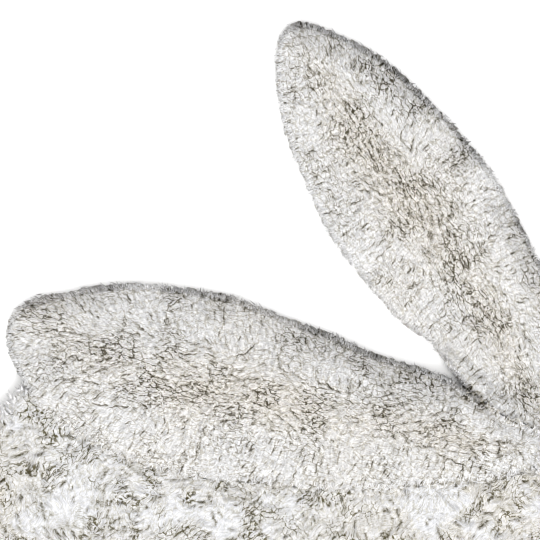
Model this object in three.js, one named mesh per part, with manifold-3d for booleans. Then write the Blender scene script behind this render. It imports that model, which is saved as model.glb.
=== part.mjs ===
// A rabbit shaped rug for a child's room, lying flat, in millimetres with +Z up.
// The rabbit is in profile and faces +X. It is sewn from three pieces of woolly pile cloth: one
// long pile panel with the head, paws and tail in its outline, and two short pile ears. Both ears
// are sewn behind the head by their base ends. One is laid back over the body, the other is thrown
// up and away from it.
import * as THREE from "three";
import { mergeVertices } from "three/addons/utils/BufferGeometryUtils.js";
import Module from "manifold-3d";

// Long pile panel: full height, height at the rim where the pile turns down, and the width of
// that turn.
const PANEL_HEIGHT = 30;
const PANEL_RIM_HEIGHT = 6;
const PANEL_TURN = 28;

// Short pile ears, in the same way.
const EAR_HEIGHT = 14;
const EAR_RIM_HEIGHT = 5;
const EAR_TURN = 13;

// How an ear lies: height of the long pile that it presses down, reach of its slope on each side
// of the panel's rim, and what is left of the lower ear's height under the upper ear.
const PRESSED_PILE = 18;
const SLOPE_REACH = 32;
const PRESSED_EAR = 5.5;
const PRESSED_EAR_REACH = 26;

// Room between one piece and the next, below an ear and beside it.
const GAP_BELOW = 0.7;
const GAP_BESIDE = 2;
const NEST_FLARE = 14;
const NEST_HEIGHT = 45;

// Fineness of the meshes: longest step along a piece, and cells across it.
const PANEL_STEP = 21;
const PANEL_CELLS = 20;
const EAR_STEP = 17;
const EAR_CELLS = 10;

// Each outline is a ladder: a row is a rung from the left edge to the right edge, looking along
// the ladder. Places are in millimetres from the point where the laid ear is sewn.
// The panel's ladder runs from the tail to the nose, between the back and the belly.
const PANEL_ROWS = [
  { backX: -709, backY: -301, bellyX: -709, bellyY: -314 },
  { backX: -702, backY: -274, bellyX: -702, bellyY: -342 },
  { backX: -683, backY: -250, bellyX: -681, bellyY: -366 },
  { backX: -654, backY: -236, bellyX: -650, bellyY: -377 },
  { backX: -632, backY: -221, bellyX: -626, bellyY: -388 },
  { backX: -620, backY: -189, bellyX: -600, bellyY: -410 },
  { backX: -596, backY: -131, bellyX: -565, bellyY: -434 },
  { backX: -558, backY: -65, bellyX: -521, bellyY: -454 },
  { backX: -511, backY: -5, bellyX: -477, bellyY: -466 },
  { backX: -460, backY: 41, bellyX: -430, bellyY: -471 },
  { backX: -441, backY: 58, bellyX: -388, bellyY: -473 },
  { backX: -409, backY: 77, bellyX: -345, bellyY: -473 },
  { backX: -366, backY: 89, bellyX: -307, bellyY: -473 },
  { backX: -307, backY: 92, bellyX: -269, bellyY: -469 },
  { backX: -247, backY: 83, bellyX: -237, bellyY: -454 },
  { backX: -188, backY: 69, bellyX: -205, bellyY: -428 },
  { backX: -128, backY: 49, bellyX: -167, bellyY: -416 },
  { backX: -77, backY: 32, bellyX: -120, bellyY: -428 },
  { backX: -35, backY: 22, bellyX: -77, bellyY: -452 },
  { backX: 3, backY: 22, bellyX: -35, bellyY: -461 },
  { backX: 42, backY: 35, bellyX: 3, bellyY: -447 },
  { backX: 84, backY: 46, bellyX: 28, bellyY: -411 },
  { backX: 135, backY: 48, bellyX: 43, bellyY: -352 },
  { backX: 186, backY: 34, bellyX: 65, bellyY: -287 },
  { backX: 230, backY: 7, bellyX: 108, bellyY: -235 },
  { backX: 263, backY: -31, bellyX: 167, bellyY: -202 },
  { backX: 280, backY: -68, bellyX: 230, bellyY: -170 },
  { backX: 283, backY: -90, bellyX: 268, bellyY: -129 },
];

// An ear's ladder runs from its base to its tip: along is the distance from the base, left and
// right are the half widths on the two sides of its axis.
const LAID_EAR = {
  baseX: 0,
  baseY: 0,
  turn: 168.8,
  rows: [
    { along: 0, left: 6, right: 6 },
    { along: 4, left: 16, right: 10 },
    { along: 10, left: 23, right: 13 },
    { along: 20, left: 29, right: 16 },
    { along: 38, left: 36, right: 19 },
    { along: 64, left: 44, right: 31 },
    { along: 86, left: 50, right: 42 },
    { along: 118, left: 58, right: 47 },
    { along: 150, left: 66, right: 50 },
    { along: 182, left: 72, right: 58 },
    { along: 215, left: 75, right: 63 },
    { along: 248, left: 79, right: 69 },
    { along: 280, left: 82, right: 75 },
    { along: 310, left: 83, right: 75 },
    { along: 340, left: 78, right: 73 },
    { along: 370, left: 70, right: 69 },
    { along: 398, left: 60, right: 61 },
    { along: 420, left: 48, right: 51 },
    { along: 438, left: 35, right: 45 },
    { along: 451, left: 21, right: 37 },
    { along: 459, left: 10, right: 29 },
    { along: 464, left: -1, right: 18 },
  ],
};
const RAISED_EAR = {
  baseX: 30,
  baseY: -36,
  turn: 120.5,
  rows: [
    { along: 0, left: 6, right: 6 },
    { along: 5, left: 11, right: 13 },
    { along: 14, left: 15, right: 20 },
    { along: 30, left: 20, right: 29 },
    { along: 55, left: 28, right: 39 },
    { along: 85, left: 35, right: 49 },
    { along: 115, left: 40, right: 58 },
    { along: 145, left: 42, right: 66 },
    { along: 166, left: 44, right: 71 },
    { along: 184, left: 52, right: 73 },
    { along: 206, left: 60, right: 75 },
    { along: 236, left: 65, right: 77 },
    { along: 266, left: 70, right: 77 },
    { along: 298, left: 72, right: 72 },
    { along: 328, left: 69, right: 66 },
    { along: 358, left: 65, right: 58 },
    { along: 386, left: 61, right: 49 },
    { along: 410, left: 52, right: 38 },
    { along: 430, left: 44, right: 26 },
    { along: 446, left: 34, right: 14 },
    { along: 457, left: 24, right: 4 },
    { along: 462, left: 13, right: -2 },
  ],
};

// An S shaped ramp from 0 to 1.
function ramp(share) {
  const s = THREE.MathUtils.clamp(share, 0, 1);
  return s * s * (3 - 2 * s);
}

// A quarter round from 0 at the rim to 1 at full height.
function quarterRound(share) {
  const s = 1 - THREE.MathUtils.clamp(share, 0, 1);
  return Math.sqrt(1 - s * s);
}

// The two edges of the panel's ladder. The back is on its left, looking from tail to nose.
function panelEdges() {
  return {
    left: PANEL_ROWS.map((row) => new THREE.Vector2(row.backX, row.backY)),
    right: PANEL_ROWS.map((row) => new THREE.Vector2(row.bellyX, row.bellyY)),
  };
}

// The two edges of an ear's ladder, wider all round by grow.
function earEdges(ear, grow) {
  const angle = THREE.MathUtils.degToRad(ear.turn);
  const length = ear.rows.at(-1).along;
  const forward = new THREE.Vector2(Math.cos(angle), Math.sin(angle));
  const sideways = new THREE.Vector2(forward.y, -forward.x);
  const place = (along, side) =>
    new THREE.Vector2(ear.baseX, ear.baseY)
      .addScaledVector(forward, along * (1 + (2 * grow) / length) - grow)
      .addScaledVector(sideways, side);
  return {
    left: ear.rows.map((row) => place(row.along, -row.left - grow)),
    right: ear.rows.map((row) => place(row.along, row.right + grow)),
  };
}

// Rungs of a ladder along smooth curves through its edges' points, no further apart than step.
// Cells across a rung are narrower towards its ends, where the pile turns down.
function ladderGrid(edges, step, cells) {
  const leftCurve = new THREE.SplineCurve(edges.left);
  const rightCurve = new THREE.SplineCurve(edges.right);
  const bays = edges.left.length - 1;
  const grid = [];
  for (let bay = 0; bay < bays; bay += 1) {
    const leftLength = edges.left[bay].distanceTo(edges.left[bay + 1]);
    const rightLength = edges.right[bay].distanceTo(edges.right[bay + 1]);
    const rungs = Math.ceil(Math.max(leftLength, rightLength) / step);
    const last = bay === bays - 1 ? 1 : 0;
    for (let rung = 0; rung < rungs + last; rung += 1) {
      const share = (bay + rung / rungs) / bays;
      const left = leftCurve.getPoint(share);
      const right = rightCurve.getPoint(share);
      const row = [];
      for (let cell = 0; cell <= cells; cell += 1) {
        const even = cell / cells;
        const rounded = 0.5 - 0.5 * Math.cos(Math.PI * even);
        row.push(left.clone().lerp(right, THREE.MathUtils.lerp(even, rounded, 0.7)));
      }
      grid.push(row);
    }
  }
  return grid;
}

// The closed outline round a grid of rungs.
function outlineOf(grid) {
  const first = grid[0];
  const last = grid.at(-1);
  const rightEdge = grid.map((row) => row.at(-1));
  const leftEdge = grid.map((row) => row[0]);
  return [
    ...first.slice(0, -1),
    ...rightEdge.slice(0, -1),
    ...last.slice(1).reverse(),
    ...leftEdge.slice(1).reverse(),
  ];
}

// A function of x and y that gives the distance to an outline, positive inside it.
function distanceInside(outline) {
  return (x, y) => {
    let nearest = Infinity;
    let inside = false;
    for (let i = 0; i < outline.length; i += 1) {
      const a = outline[i];
      const b = outline[(i + 1) % outline.length];
      const dx = b.x - a.x;
      const dy = b.y - a.y;
      const along = ((x - a.x) * dx + (y - a.y) * dy) / (dx * dx + dy * dy);
      const near = THREE.MathUtils.clamp(along, 0, 1);
      nearest = Math.min(nearest, Math.hypot(x - a.x - near * dx, y - a.y - near * dy));
      if (a.y > y !== b.y > y && x < a.x + ((y - a.y) * dx) / dy) {
        inside = !inside;
      }
    }
    return inside ? nearest : -nearest;
  };
}

// A closed slab over a grid, with its lower and upper face at the heights that two functions
// give. A flat lower face needs no cells across its rungs.
function slab(lowerGrid, upperGrid, lowerHeight, upperHeight, flatBelow) {
  const rungs = lowerGrid.length;
  const cells = lowerGrid[0].length - 1;
  const positions = [];
  const lower = (r, c) => {
    const p = lowerGrid[r][c];
    return [p.x, p.y, lowerHeight(p.x, p.y)];
  };
  const upper = (r, c) => {
    const p = upperGrid[r][c];
    return [p.x, p.y, upperHeight(p.x, p.y)];
  };
  const triangle = (a, b, c) => positions.push(...a, ...b, ...c);
  const quad = (a, b, c, d) => {
    triangle(a, b, c);
    triangle(a, c, d);
  };
  const across = flatBelow ? cells : 1;
  for (let r = 0; r < rungs - 1; r += 1) {
    for (let c = 0; c < cells; c += 1) {
      quad(upper(r, c), upper(r, c + 1), upper(r + 1, c + 1), upper(r + 1, c));
    }
    for (let c = 0; c < cells; c += across) {
      quad(lower(r, c), lower(r + 1, c), lower(r + 1, c + across), lower(r, c + across));
    }
    quad(lower(r, 0), upper(r, 0), upper(r + 1, 0), lower(r + 1, 0));
    quad(lower(r + 1, cells), upper(r + 1, cells), upper(r, cells), lower(r, cells));
  }
  for (const [r, turned] of [[0, false], [rungs - 1, true]]) {
    for (let c = 0; c < cells; c += 1) {
      const [near, far] = turned ? [c, c + 1] : [c + 1, c];
      if (flatBelow) {
        triangle(lower(r, turned ? 0 : cells), upper(r, near), upper(r, far));
      } else {
        quad(lower(r, near), upper(r, near), upper(r, far), lower(r, far));
      }
    }
    if (flatBelow) {
      const [near, far] = turned ? [0, cells] : [cells, 0];
      triangle(lower(r, near), upper(r, far), lower(r, far));
    }
  }
  const geometry = new THREE.BufferGeometry();
  geometry.setAttribute("position", new THREE.Float32BufferAttribute(positions, 3));
  return mergeVertices(geometry, 0.001);
}

const wasm = await Module();
wasm.setup();

function toSolid(geometry) {
  const vertProperties = new Float32Array(geometry.attributes.position.array);
  const triVerts = new Uint32Array(geometry.index.array);
  return new wasm.Manifold(new wasm.Mesh({ numProp: 3, vertProperties, triVerts }));
}

function toGeometry(solid) {
  const mesh = solid.getMesh();
  const geometry = new THREE.BufferGeometry();
  geometry.setAttribute("position", new THREE.BufferAttribute(mesh.vertProperties, 3));
  geometry.setIndex(new THREE.BufferAttribute(mesh.triVerts, 1));
  return geometry;
}

const panelGrid = ladderGrid(panelEdges(), PANEL_STEP, PANEL_CELLS);
const insidePanel = distanceInside(outlineOf(panelGrid));

// The height at which an ear lies: on the floor beside the panel, and on the pressed pile over it.
function layHeight(x, y) {
  const share = (insidePanel(x, y) + SLOPE_REACH) / (2 * SLOPE_REACH);
  return PRESSED_PILE * ramp(share);
}

// An ear's slab, and the room to leave for it in what lies below it. The room's lower face
// follows the ear's, and its sides open upwards.
function makeEar(ear, lowerHeight) {
  const grid = ladderGrid(earEdges(ear, 0), EAR_STEP, EAR_CELLS);
  const insideEar = distanceInside(outlineOf(grid));
  const pileHeight = (x, y) => {
    const rise = quarterRound(insideEar(x, y) / EAR_TURN);
    return EAR_RIM_HEIGHT + (EAR_HEIGHT - EAR_RIM_HEIGHT) * rise;
  };
  const roomBelow = ladderGrid(earEdges(ear, GAP_BESIDE), EAR_STEP, EAR_CELLS);
  const roomAbove = ladderGrid(earEdges(ear, NEST_FLARE), EAR_STEP, EAR_CELLS);
  return {
    insideEar,
    slab: slab(grid, grid, lowerHeight, (x, y) => lowerHeight(x, y) + pileHeight(x, y), false),
    room: slab(
      roomBelow,
      roomAbove,
      (x, y) => lowerHeight(x, y) - GAP_BELOW,
      () => NEST_HEIGHT,
      false,
    ),
  };
}

// The raised ear lies on the floor and on the head.
const raisedEar = makeEar(RAISED_EAR, layHeight);

// The laid ear lies on the body, and on the raised ear where they cross.
const laidEar = makeEar(LAID_EAR, (x, y) => {
  const share = (raisedEar.insideEar(x, y) + PRESSED_EAR_REACH) / PRESSED_EAR_REACH;
  return layHeight(x, y) + PRESSED_EAR * ramp(share);
});

// The panel is flat below. Its pile stands to full height and turns down to the rim.
const panel = slab(
  panelGrid,
  panelGrid,
  () => 0,
  (x, y) => {
    const rise = quarterRound(insidePanel(x, y) / PANEL_TURN);
    return PANEL_RIM_HEIGHT + (PANEL_HEIGHT - PANEL_RIM_HEIGHT) * rise;
  },
  true,
);

const laidRoom = toSolid(laidEar.room);
const raisedRoom = toSolid(raisedEar.room);
const panelSolid = toSolid(panel).subtract(laidRoom).subtract(raisedRoom);
const raisedSolid = toSolid(raisedEar.slab).subtract(laidRoom);

function namedMesh(name, geometry, colour) {
  const material = new THREE.MeshStandardMaterial({
    color: colour,
    roughness: 0.95,
    metalness: 0,
  });
  const mesh = new THREE.Mesh(geometry, material);
  mesh.name = name;
  return mesh;
}

const rug = new THREE.Group();
rug.add(namedMesh("body_panel", toGeometry(panelSolid), "#efece6"));
rug.add(namedMesh("raised_ear", toGeometry(raisedSolid), "#e2dbcf"));
rug.add(namedMesh("laid_ear", laidEar.slab, "#ddd6ca"));

// The rug's own origin is on the floor, at the middle of its length and width.
const middle = new THREE.Box3().setFromObject(rug).getCenter(new THREE.Vector3());
rug.position.set(-middle.x, -middle.y, 0);

export default rug;
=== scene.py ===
import math

import bmesh
import bpy
import numpy as np
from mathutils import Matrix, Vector
from mathutils.bvhtree import BVHTree
from mathutils.geometry import delaunay_2d_cdt
from mathutils.kdtree import KDTree


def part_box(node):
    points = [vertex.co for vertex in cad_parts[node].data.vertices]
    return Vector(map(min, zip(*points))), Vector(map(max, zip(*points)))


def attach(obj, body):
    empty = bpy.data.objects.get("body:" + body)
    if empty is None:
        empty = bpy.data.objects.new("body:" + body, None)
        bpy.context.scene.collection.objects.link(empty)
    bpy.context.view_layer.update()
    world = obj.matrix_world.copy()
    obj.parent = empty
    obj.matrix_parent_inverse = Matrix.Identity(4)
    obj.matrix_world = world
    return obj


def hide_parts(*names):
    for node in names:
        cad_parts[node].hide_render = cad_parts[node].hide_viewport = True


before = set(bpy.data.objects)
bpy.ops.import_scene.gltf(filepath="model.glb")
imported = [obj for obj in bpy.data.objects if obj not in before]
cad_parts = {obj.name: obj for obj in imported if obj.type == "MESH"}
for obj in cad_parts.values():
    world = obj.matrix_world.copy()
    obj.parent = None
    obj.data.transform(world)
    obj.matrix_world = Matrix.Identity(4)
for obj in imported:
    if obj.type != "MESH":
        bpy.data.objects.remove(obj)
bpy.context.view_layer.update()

# Body backing: one panel of plain woven cloth, cut with the head, paws and tail in its outline.
# It lies flat on the floor, and the long pile is rooted in it. The pile hangs past its cut edge,
# so the cloth is cut a little smaller than the rug.
BACKING_THICKNESS = 0.0025
BODY_OVERHANG = 0.010
DOWNWARD = -0.3
BACKING_RIBS_PER_METRE = 260
BACKING_RELIEF = 0.4
BACKING_RELIEF_DEPTH = 0.0006
BACKING_ROUGHNESS = 0.95


def merged_copy(node):
    """A frame node's mesh as a bmesh, with its loose triangles joined."""
    bm = bmesh.new()
    bm.from_mesh(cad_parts[node].data)
    bmesh.ops.remove_doubles(bm, verts=bm.verts, dist=1e-5)
    return bm


def linked_faces(face):
    """A face and all faces that its edges lead to."""
    part, growing = {face}, [face]
    while growing:
        for edge in growing.pop().edges:
            fresh = set(edge.link_faces) - part
            part |= fresh
            growing += fresh
    return part


def underside(node):
    """The downward face of a frame node, as a bmesh."""
    bm = merged_copy(node)
    others = [face for face in bm.faces if face.normal.z > DOWNWARD]
    bmesh.ops.delete(bm, geom=others, context="FACES")
    reached = linked_faces(min(bm.faces, key=lambda face: face.calc_center_median().z))
    islands = [face for face in bm.faces if face not in reached]
    bmesh.ops.delete(bm, geom=islands, context="FACES")
    return bm


def new_object(name, data):
    """An object in the scene, at the origin."""
    placed = bpy.data.objects.new(name, data)
    bpy.context.scene.collection.objects.link(placed)
    return placed


def rug_piece(name, mesh, material, node):
    """A piece of the rug that stands for a node, on the one body."""
    mesh.materials.append(material)
    piece = new_object(name, mesh)
    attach(piece, "root")
    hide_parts(node)
    return piece


def backing(name, node, overhang):
    """A sheet as thick as the backing cloth, over a node's underside less the overhang, and its
    area."""
    bm = underside(node)
    rim = bmesh.ops.inset_region(
        bm, faces=bm.faces[:], thickness=overhang, use_even_offset=True, use_boundary=True
    )
    bmesh.ops.delete(bm, geom=rim["faces"], context="FACES")
    area = sum(face.calc_area() for face in bm.faces)
    raised = bmesh.ops.extrude_face_region(bm, geom=bm.faces[:])["geom"]
    top = [part for part in raised if isinstance(part, bmesh.types.BMVert)]
    bmesh.ops.translate(bm, verts=top, vec=(0, 0, BACKING_THICKNESS))
    bmesh.ops.recalc_face_normals(bm, faces=bm.faces[:])
    mesh = bpy.data.meshes.new(name)
    bm.to_mesh(mesh)
    bm.free()
    return rug_piece(name, mesh, backing_cloth, node), area


def new_material(name):
    """A material, its node tree and its shader."""
    material = bpy.data.materials.new(name)
    material.use_nodes = True
    return material, material.node_tree, material.node_tree.nodes["Principled BSDF"]


def add_relief(tree, shader, height, strength, depth):
    """Bump a shader by the height that a socket puts out."""
    relief = tree.nodes.new("ShaderNodeBump")
    relief.inputs["Strength"].default_value = strength
    relief.inputs["Distance"].default_value = depth
    tree.links.new(height, relief.inputs["Height"])
    tree.links.new(relief.outputs["Normal"], shader.inputs["Normal"])


backing_cloth, tree, shader = new_material("backing cloth")
place = tree.nodes.new("ShaderNodeTexCoord")
rib_size = tree.nodes.new("ShaderNodeMapping")
rib_size.inputs["Scale"].default_value = (BACKING_RIBS_PER_METRE,) * 3
weave = tree.nodes.new("ShaderNodeTexBrick")
weave.inputs["Color1"].default_value = (0.50, 0.44, 0.36, 1)
weave.inputs["Color2"].default_value = (0.56, 0.50, 0.41, 1)
weave.inputs["Mortar"].default_value = (0.36, 0.31, 0.25, 1)
weave.inputs["Scale"].default_value = 1.0
tree.links.new(place.outputs["Object"], rib_size.inputs["Vector"])
tree.links.new(rib_size.outputs["Vector"], weave.inputs["Vector"])
tree.links.new(weave.outputs["Color"], shader.inputs["Base Color"])
add_relief(tree, shader, weave.outputs["Fac"], BACKING_RELIEF, BACKING_RELIEF_DEPTH)
shader.inputs["Roughness"].default_value = BACKING_ROUGHNESS

body_backing, body_area = backing("body_backing", "body_panel", BODY_OVERHANG)

# Body pile: long, shaggy wool-like pile, 30 mm high, that has fallen over in whorls. Its dense mass
# is one closed surface with wavy locks and open partings, white at the tips and olive in the
# partings, where the roots' darker colour is deepened with painted shade. Loose strands stand out
# of it and hang over its rim. It is worked in three lengths.
BODY_SEED = 11
BODY_FALL = (-0.707, -0.707)
BODY_CELL = 0.00118
BODY_INSET = 0.0055
BODY_RAGGED = 0.003
BODY_SURVEY_STEP = 0.004
BODY_MASS_SHARE = 0.93
BODY_PARTING_DEPTH = 0.004
BODY_LOCK_WIDTH = 0.0055
BODY_LOCK_STRETCH = 2.2
BODY_LOCK_EDGE = 0.0015
BODY_ROPE = (0.0022, 0.008)
BODY_FINE = (0.0013, 0.004)
BODY_CELLS = (0.0032, 0.006)
BODY_CELL_LINE = 0.0010
BODY_LINES = 8000
BODY_LINE_LENGTH = 0.0065
BODY_LINE_WIDTH = 0.0011
BODY_LONG_PARTINGS = (
    (0.2002, 0.034, 0.2113, 0.0493),
    (0.1679, 0.0272, 0.1832, 0.0323),
    (-0.1414, 0.0459, -0.1295, 0.0434),
    (-0.1449, 0.0204, -0.138, 0.023),
    (-0.0683, 0.017, -0.0675, 0.0085),
    (-0.0667, 0.0017, -0.0633, -0.0119),
    (-0.2468, 0.0255, -0.24, 0.0281),
    (-0.2001, 0.0349, -0.1958, 0.0374),
    (-0.1958, 0.0221, -0.1899, 0.0272),
)
BODY_WEAVE_STRETCH = 1.7
BODY_WEAVE_BEND = 0.008
WHITE_PLACES = (
    (-0.180, 0.012, 0.022),
    (-0.221, -0.007, 0.014),
    (-0.233, 0.077, 0.007),
    (-0.053, -0.007, 0.013),
    (0.120, 0.010, 0.022),
)
OPEN_PLACE = (-0.215, 0.055)
OPEN_SIZE = 0.032
BODY_WELL_HEIGHT = 0.0290
BODY_PRESS_REACH = 0.035
PRESS_EASE = 0.0006
UNDER_EAR_MARGIN = 0.009
BODY_STRAND_SPACING = 0.0022
BODY_STRAND_RADIUS = 0.0006
BODY_REACH = 0.013
BODY_ROOT_SHARE = 0.55
BODY_KNEE_SHARE = 0.9
BODY_TIP_SHARE = 0.95
LOOSE_SHARE = 0.07
LOOSE_LIGHT = 0.22
STRAND_FLATNESS = 0.6
STRAND_ROOT_LIGHT = 0.75
MAP_STEP = 0.0025
MAP_BORDER = 0.03
SURVEY_BORDER = 6
SURVEY_FALLBACK = 0.005
LATTICE = 512
LOCKS_TRIED = 10
LOCK_TRIES = 5
SMEAR_STEPS = 7
SMEAR_GAIN = 2.6
SWAY_SIZE = 0.015
CRIMP_SIZE = 0.004
CRIMP_BEND = 0.0012
LINE_STEP = 0.0005
LINE_TRIES = 6
LONG_SWAY = 0.0016
LONG_SWAY_SIZE = 0.004
LONG_STRENGTH = 1.5
CRUMB_CELLS = 400
PIN_HOLE_SIDES = 70
CAP_STEP = 0.015
CAP_SHARE = 0.2
CHART_MARGIN = 0.02
CHART_COLUMNS = 40
CHART_WIDTH = 0.002
SHADE_RANGE = (0.5, 1.5)
TINY = 1e-9


def outline_of(node):
    """The closed outline of a node's underside, as an array of points."""
    bm = underside(node)
    edge = next(edge for edge in bm.edges if edge.is_boundary)
    start, at = edge.verts
    points = [start.co.xy[:], at.co.xy[:]]
    while True:
        edge = next(e for e in at.link_edges if e.is_boundary and e != edge)
        at = edge.other_vert(at)
        if at == start:
            break
        points.append(at.co.xy[:])
    bm.free()
    return np.array(points)


def inside_outline(points, outline):
    """Which points lie inside a closed outline."""
    x, y = points[:, 0], points[:, 1]
    inside = np.zeros(len(points), bool)
    for (ax, ay), (bx, by) in zip(outline, np.roll(outline, -1, axis=0)):
        if ay != by:
            crossing = ax + (y - ay) * (bx - ax) / (by - ay)
            inside ^= ((ay > y) != (by > y)) & (x < crossing)
    return inside


def rim_map(outline):
    """Grid map around an outline: distance inside it, the way out to it in x and y, and how
    one-sided that way is."""
    low = outline.min(0) - MAP_BORDER
    columns, rows = np.ceil((outline.max(0) + MAP_BORDER - low) / MAP_STEP).astype(int) + 1
    across, up = np.meshgrid(np.arange(columns), np.arange(rows), indexing="ij")
    points = low + MAP_STEP * np.stack([across.ravel(), up.ravel()], axis=1)
    nearest = np.full(len(points), np.inf)
    pull = np.zeros((len(points), 2))
    weight = np.zeros(len(points))
    for a, b in zip(outline, np.roll(outline, -1, axis=0)):
        side = b - a
        length = np.hypot(*side)
        share = np.clip((points - a) @ side / length**2, 0, 1)
        away = a + share[:, None] * side - points
        distance = np.maximum(np.hypot(away[:, 0], away[:, 1]), 1e-4)
        strength = length / distance**3
        pull += away * (strength / distance)[:, None]
        weight += strength
        nearest = np.minimum(nearest, distance)
    sign = np.where(inside_outline(points, outline), 1, -1)
    size = np.maximum(np.hypot(pull[:, 0], pull[:, 1]), TINY)
    way = pull / size[:, None] * sign[:, None]
    values = np.stack([nearest * sign, way[:, 0], way[:, 1], np.clip(size / weight, 0, 1)])
    return low, MAP_STEP, values.reshape(4, columns, rows)


def mapped(grid, points):
    """Values of a grid map at points between its knots."""
    start, step, values = grid
    scaled = (points - start) / step
    cell = np.clip(np.floor(scaled).astype(int), 0, np.array(values.shape[1:]) - 2)
    x, y = np.clip(scaled - cell, 0, 1).T
    i, j = cell.T
    low = values[:, i, j] * (1 - x) + values[:, i + 1, j] * x
    high = values[:, i, j + 1] * (1 - x) + values[:, i + 1, j + 1] * x
    return low * (1 - y) + high * y


def rim_at(points, grid):
    """Distance of points inside an outline, the way out to it, and how one-sided that way is."""
    distance, across, up, one_sided = mapped(grid, points)
    return distance, unit(np.stack([across, up], axis=1)), one_sided


def smooth(values, low, high):
    """Values eased from 0 at low to 1 at high."""
    share = np.clip((values - low) / (high - low), 0, 1)
    return share * share * (3 - 2 * share)


def drift(points, size, seed):
    """Smooth noise from -1 to 1 over a plane, with features about as large as size."""
    lattice = np.random.default_rng(seed).uniform(-1, 1, (LATTICE, LATTICE))
    scaled = points / size
    cell = np.floor(scaled).astype(int)
    x_share, y_share = smooth(scaled - cell, 0, 1).T
    x, y = cell.T % LATTICE
    right, up = (x + 1) % LATTICE, (y + 1) % LATTICE
    low = lattice[x, y] * (1 - x_share) + lattice[right, y] * x_share
    high = lattice[x, up] * (1 - x_share) + lattice[right, up] * x_share
    return low * (1 - y_share) + high * y_share


def survey(node, step):
    """Grid of a node's lower and upper heights, carried on a little past its outline."""
    bm = merged_copy(node)
    surface = BVHTree.FromBMesh(bm)
    bm.free()
    low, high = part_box(node)
    columns = int((high.x - low.x) / step) + 2 * SURVEY_BORDER
    rows = int((high.y - low.y) / step) + 2 * SURVEY_BORDER
    start = np.array([low.x, low.y]) - SURVEY_BORDER * step
    grid = np.full((2, columns, rows), np.nan)
    for i in range(columns):
        for j in range(rows):
            x, y = start + step * np.array([i, j])
            below = surface.ray_cast(Vector((x, y, -1)), Vector((0, 0, 1)))[0]
            above = surface.ray_cast(Vector((x, y, 1)), Vector((0, 0, -1)))[0]
            if below and above:
                grid[:, i, j] = below.z, above.z
    for _ in range(SURVEY_BORDER):
        sides = [np.roll(grid, shift, axis) for shift in (-1, 1) for axis in (1, 2)]
        known = np.sum([~np.isnan(side) for side in sides], axis=0)
        total = np.sum([np.nan_to_num(side) for side in sides], axis=0)
        spread = np.isnan(grid) & (known > 0)
        grid[spread] = total[spread] / known[spread]
    return start, step, np.nan_to_num(grid, nan=SURVEY_FALLBACK)


def at_height(points, grid, share):
    """Points on a plane, lifted to a share of the way from a survey's lower height to its
    upper one."""
    lower, upper = mapped(grid, points)
    return np.column_stack([points, lower + (upper - lower) * share])


def scattered(outline, spacing, seed):
    """Points inside an outline on an uneven triangular net."""
    rng = np.random.default_rng(seed)
    low, high = outline.min(0), outline.max(0)
    columns = np.arange(low[0], high[0], spacing)
    rows = np.arange(low[1], high[1], spacing * math.sqrt(3) / 2)
    x, y = np.meshgrid(columns, rows)
    x = x + (np.arange(len(rows)) % 2)[:, None] * spacing / 2
    points = np.stack([x.ravel(), y.ravel()], axis=1)
    points += rng.uniform(-0.4, 0.4, points.shape) * spacing
    return points[inside_outline(points, outline)]


def turned(ways, angles):
    """Directions turned by angles."""
    cos, sin = np.cos(angles), np.sin(angles)
    x, y = ways.T
    return np.stack([x * cos - y * sin, x * sin + y * cos], axis=1)


def unit(ways):
    """Directions made one long."""
    return ways / np.maximum(np.hypot(ways[:, 0], ways[:, 1]), TINY)[:, None]


def finder_of(points):
    """A finder of the nearest of some points on a plane."""
    finder = KDTree(len(points))
    for i, (x, y) in enumerate(points):
        finder.insert((x, y, 0), i)
    finder.balance()
    return finder


def lock_centres(outline, way_at, width, stretch, seed):
    """Middles of locks that fill an outline, each about width wide and stretch times as long,
    and the way that each is longer."""
    rng = np.random.default_rng(seed)
    low, high = outline.min(0), outline.max(0)
    count = int(np.prod(high - low) / (width**2 * stretch) * LOCK_TRIES)
    tries = rng.uniform(low, high, (count, 2))
    tries = tries[inside_outline(tries, outline)]
    ways = way_at(tries)
    finder = finder_of(tries)
    kept = np.zeros(len(tries), bool)
    for i, (x, y) in enumerate(tries):
        near = [j for _, j, _ in finder.find_range((x, y, 0), width * stretch) if kept[j]]
        if near:
            gap = tries[near] - tries[i]
            along = gap @ ways[i] / stretch
            across = gap[:, 0] * ways[i][1] - gap[:, 1] * ways[i][0]
            if np.min(np.hypot(along, across)) < width:
                continue
        kept[i] = True
    return tries[kept], ways[kept]


def inside_lock(points, centres, ways, stretch):
    """How deep each point is inside the lock of pile that it belongs to."""
    finder = finder_of(centres)
    found = [finder.find_n((x, y, 0), LOCKS_TRIED) for x, y in points]
    near = np.array([[hit[1] for hit in hits] for hits in found])
    gap = points[:, None] - centres[near]
    way = ways[near]
    along = (gap * way).sum(2) / stretch
    across = gap[..., 0] * way[..., 1] - gap[..., 1] * way[..., 0]
    nearest = np.sort(np.hypot(along, across), axis=1)
    return (nearest[:, 1] - nearest[:, 0]) / 2


def smeared(points, ways, size, length, seed):
    """Noise drawn out along the given ways, about size wide and length long."""
    steps = np.linspace(-0.5, 0.5, SMEAR_STEPS) * length
    return sum(drift(points + ways * step, size, seed) for step in steps) / SMEAR_GAIN


def cell_lines(points, ways, size, length, seed):
    """Distance of points to the winding lines of a pattern drawn out along the given ways."""
    value = smeared(points, ways, size, length, seed)
    step = size / 8
    across = smeared(points + (step, 0), ways, size, length, seed) - value
    up = smeared(points + (0, step), ways, size, length, seed) - value
    return np.abs(value) * step / np.maximum(np.hypot(across, up), step * 20)


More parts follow.
